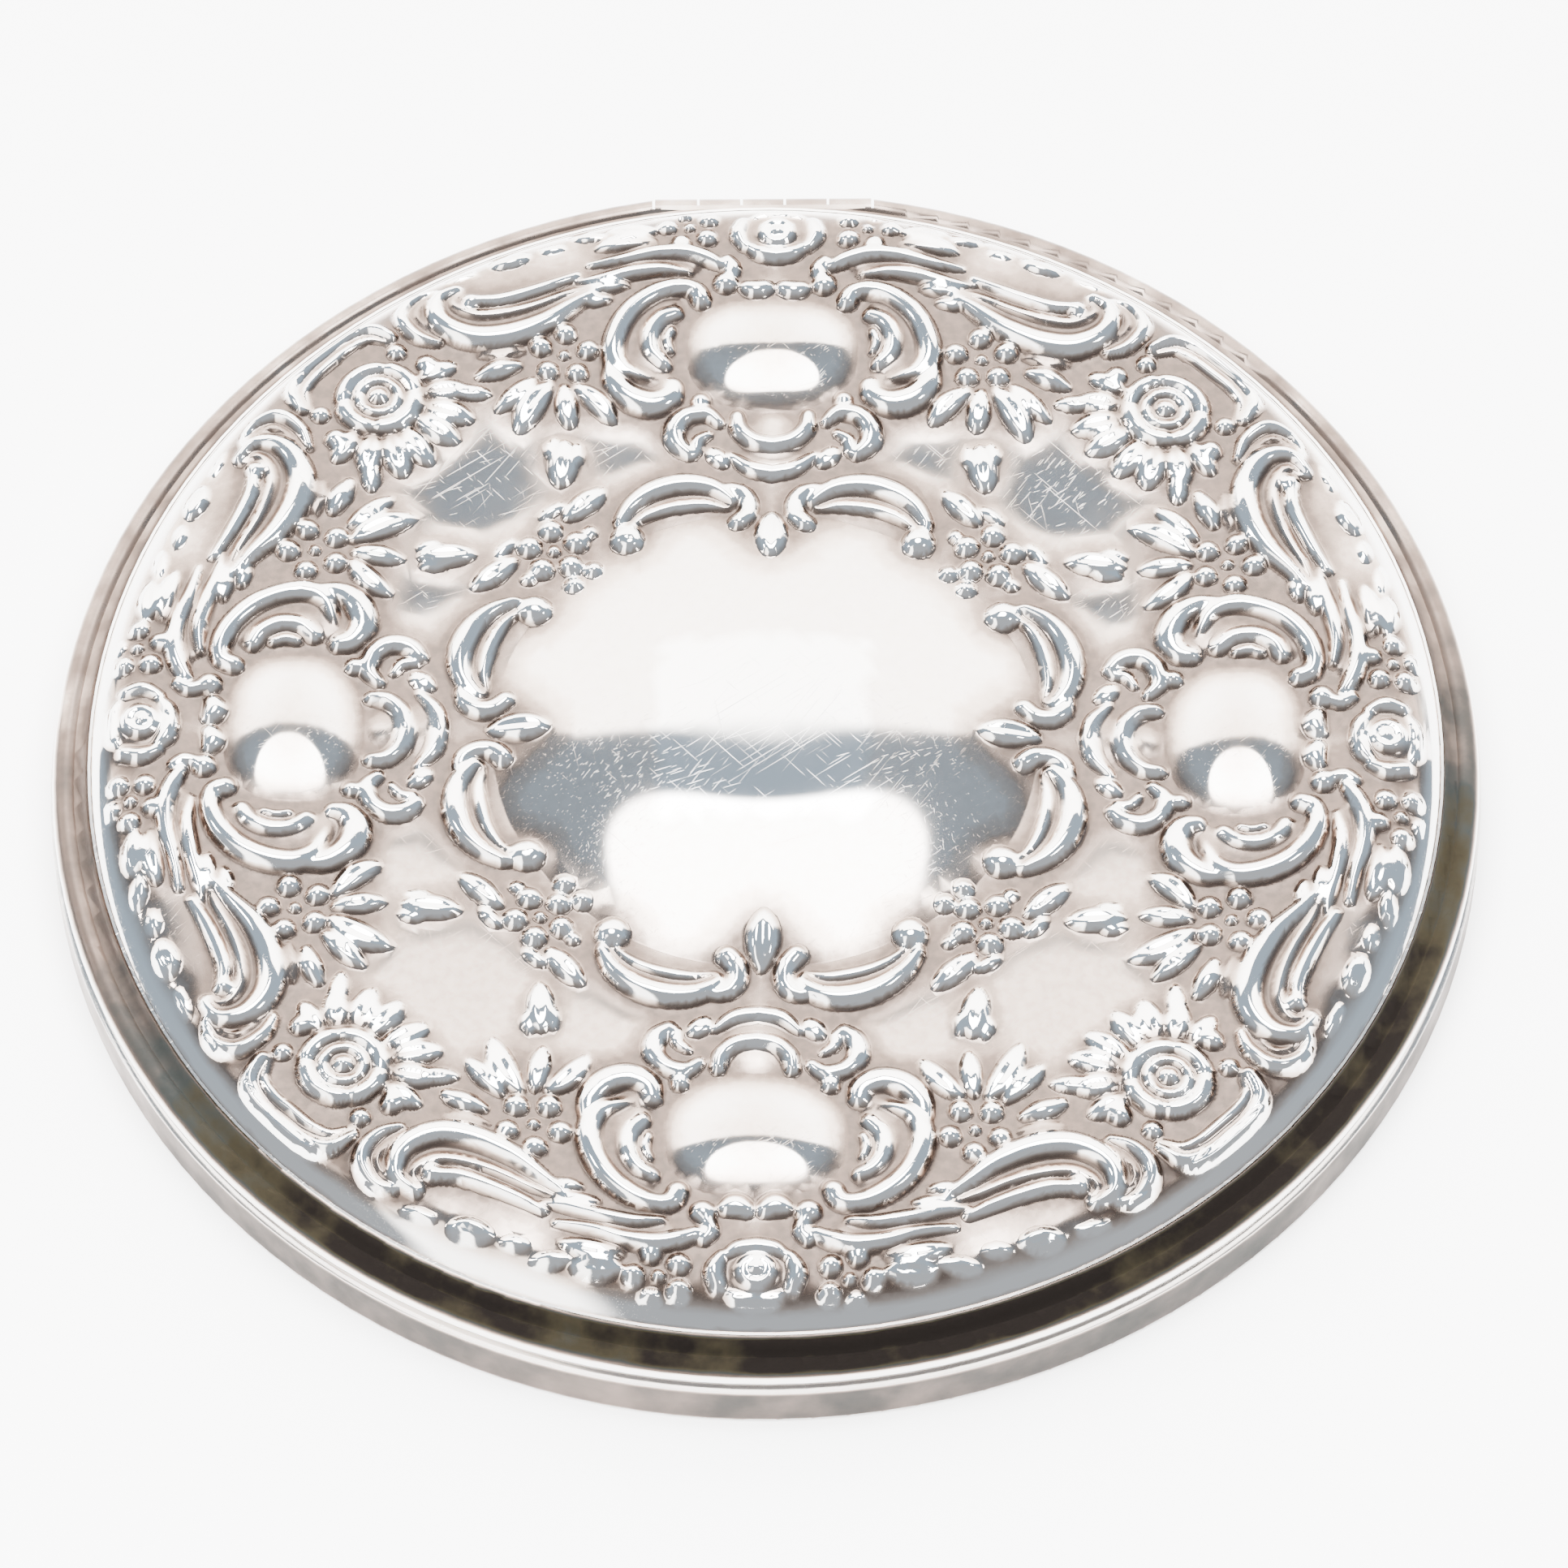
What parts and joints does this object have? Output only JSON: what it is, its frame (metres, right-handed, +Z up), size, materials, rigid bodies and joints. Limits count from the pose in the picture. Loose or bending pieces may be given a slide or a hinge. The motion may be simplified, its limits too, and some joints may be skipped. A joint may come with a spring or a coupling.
{
  "type": "powder compact",
  "caption": "Round silver powder compact with a domed, embossed lid hinged at the back over a mirror, powder door, sifter and puff.",
  "frame": {"origin": "centre of the flat underside of the closed compact", "axes": "+Z up through the lid, -Y to the catch side, +Y to the hinge, +X to the right seen from the catch side"},
  "size_m": [0.108, 0.108, 0.0107],
  "materials": {
    "silver": "polished silver, hairline scratches and brown tarnish in the recesses",
    "gilt": "satin gilt wash",
    "mirror": "silvered glass",
    "card": "grey-brown pulp board",
    "pin_steel": "drawn wire",
    "spring_steel": "blued spring strip",
    "powder": "loose face powder",
    "gauze": "fine silk gauze",
    "velour": "short velour pile",
    "ribbon": "satin ribbon"
  },
  "bodies": {
    "base": {"base_pan": "silver", "hinge_leaf_base": "silver", "hinge_pin": "pin_steel", "tray_deck": "gilt", "catch_spring": "spring_steel", "catch_rivets": "gilt", "powder_well": "gilt", "loose_powder": "powder", "sifter_frame": "gilt", "sifter_screen": "gauze", "powder_puff": "velour", "puff_ribbon": "ribbon", "door_ears": "gilt", "door_pin": "pin_steel", "door_catch": "gilt"},
    "lid": {"lid_shell": "silver", "lid_rim": "silver", "hinge_leaf_lid": "silver", "catch_lug": "silver", "mirror_bezel": "gilt", "mirror_glass": "mirror", "mirror_card": "card"},
    "powder_door": {"door_plate": "gilt", "door_tab": "gilt"}
  },
  "joints": [
    {"name": "lid_hinge", "type": "hinge", "parent": "base", "child": "lid", "pos_m": [0, 0.053, 0.0042], "axis": [-1, 0, 0], "range_deg": [0, 115]},
    {"name": "powder_door_hinge", "type": "hinge", "parent": "base", "child": "powder_door", "pos_m": [0, 0.041, 0.00645], "axis": [-1, 0, 0], "range_deg": [0, 90]}
  ],
  "couplings": [
    {"joint": "powder_door_hinge", "follows": "lid_hinge", "ratio": 0.75}
  ]
}
